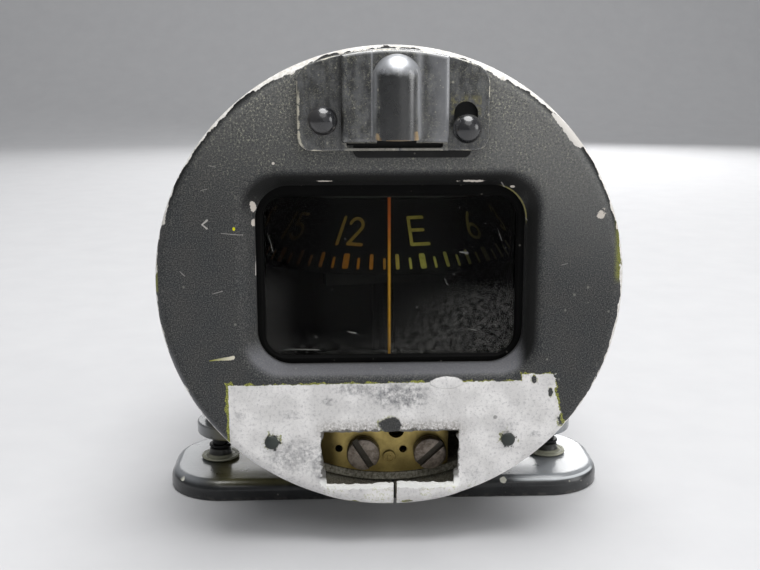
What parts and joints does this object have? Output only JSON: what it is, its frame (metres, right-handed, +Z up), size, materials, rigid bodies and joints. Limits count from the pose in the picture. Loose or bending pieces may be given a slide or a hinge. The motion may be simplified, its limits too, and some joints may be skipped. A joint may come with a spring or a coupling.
{
  "type": "aircraft magnetic compass",
  "caption": "Liquid-filled bowl compass with a turning card behind a recessed window, a lamp hood, a screwdriver-set compensator and a foot plate on rubber mounts.",
  "frame": {"origin": "centre of the foot plate's underside", "axes": "+Z up, -Y towards the reader of the card, +X to the reader's right"},
  "size_m": [0.0932, 0.097, 0.0935],
  "materials": {
    "cover_paint": "matte",
    "case_paint": "matte",
    "black_enamel": "gloss",
    "clear_glass": "polished",
    "rubber": "matte",
    "steel": "satin",
    "line_paint": "matte",
    "card_paint": "matte",
    "light_sheet": "satin",
    "brass": "satin",
    "jewel": "polished"
  },
  "bodies": {
    "case": {"front_cover": "cover_paint", "front_cover_rivet_left": "cover_paint", "front_cover_rivet_right": "cover_paint", "case_body": "case_paint", "glass_frame": "case_paint", "window_glass": "clear_glass", "window_gasket": "rubber", "glass_frame_screw_1": "steel", "glass_frame_screw_2": "steel", "glass_frame_screw_3": "steel", "glass_frame_screw_4": "steel", "lubber_line": "line_paint", "jewel_post": "brass", "jewel_spring": "steel", "compensator_front_plate": "brass", "compensator_rear_plate": "brass", "compensator_pillar_lower": "brass", "compensator_pillar_upper": "brass", "stud_left": "black_enamel", "stud_right": "black_enamel", "lamp_plate": "black_enamel", "rear_gasket": "rubber", "diaphragm": "light_sheet", "rear_cover": "case_paint", "rear_cover_screw_1": "steel", "rear_cover_screw_2": "steel", "rear_cover_screw_3": "steel", "rear_cover_screw_4": "steel", "filler_washer": "rubber", "filler_plug": "brass", "mounting_plate": "black_enamel", "mounting_plate_screw_left": "steel", "mounting_plate_screw_right": "steel", "shock_grommet_left": "rubber", "shock_grommet_right": "rubber", "shock_mount_screw_left": "steel", "shock_mount_screw_right": "steel", "base": "black_enamel"},
    "jewel": {"jewel_cup": "brass"},
    "card_bearing": {"jewel_stone": "jewel"},
    "card": {"card_band": "card_paint", "card_web": "light_sheet", "float_lower": "light_sheet", "float_upper": "light_sheet", "pivot_needle": "steel", "magnet_carrier": "brass", "card_magnet_left": "steel", "card_magnet_right": "steel"},
    "ns_adjuster": {"ns_adjusting_shaft": "brass", "ns_magnet": "steel"},
    "ns_counter": {"ns_counter_shaft": "brass", "ns_counter_magnet": "steel"},
    "ew_adjuster": {"ew_adjusting_shaft": "brass", "ew_magnet": "steel"},
    "ew_counter": {"ew_counter_shaft": "brass", "ew_counter_magnet": "steel"},
    "lamp": {"lamp_hood": "black_enamel", "lamp_bulb": "clear_glass", "lamp_socket": "brass"}
  },
  "joints": [
    {"name": "jewel_slide", "type": "slide", "parent": "case", "child": "jewel", "axis": [0, 0, 1], "range_m": [-0.0008, 0], "stiffness_N_per_m": 400, "springref_m": 0.0015, "deforming": ["jewel_spring"]},
    {"name": "card_turn", "type": "hinge", "parent": "jewel", "child": "card_bearing", "pos_m": [0, 0.008, 0.05535], "axis": [0, 0, 1], "continuous": true},
    {"name": "card_dip", "type": "hinge", "parent": "card_bearing", "child": "card", "pos_m": [0, 0.008, 0.05535], "axis": [-0.2147, 0.9767, 0], "range_deg": [-15, 15]},
    {"name": "ns_adjust", "type": "hinge", "parent": "case", "child": "ns_adjuster", "pos_m": [-0.0052, -0.023, 0.0156], "axis": [0, 1, 0], "continuous": true},
    {"name": "ns_counter_turn", "type": "hinge", "parent": "case", "child": "ns_counter", "pos_m": [-0.0052, -0.023, 0.0218], "axis": [0, 1, 0], "continuous": true},
    {"name": "ew_adjust", "type": "hinge", "parent": "case", "child": "ew_adjuster", "pos_m": [0.0078, -0.023, 0.0156], "axis": [0, 1, 0], "continuous": true},
    {"name": "ew_counter_turn", "type": "hinge", "parent": "case", "child": "ew_counter", "pos_m": [0.0078, -0.023, 0.0218], "axis": [0, 1, 0], "continuous": true},
    {"name": "lamp_hood_swing", "type": "hinge", "parent": "case", "child": "lamp", "pos_m": [-0.0121, -0.03865, 0.0806], "axis": [0, 1, 0], "range_deg": [0, 5.5]}
  ],
  "couplings": [
    {"joint": "ns_counter_turn", "follows": "ns_adjust", "ratio": -1},
    {"joint": "ew_counter_turn", "follows": "ew_adjust", "ratio": -1}
  ]
}
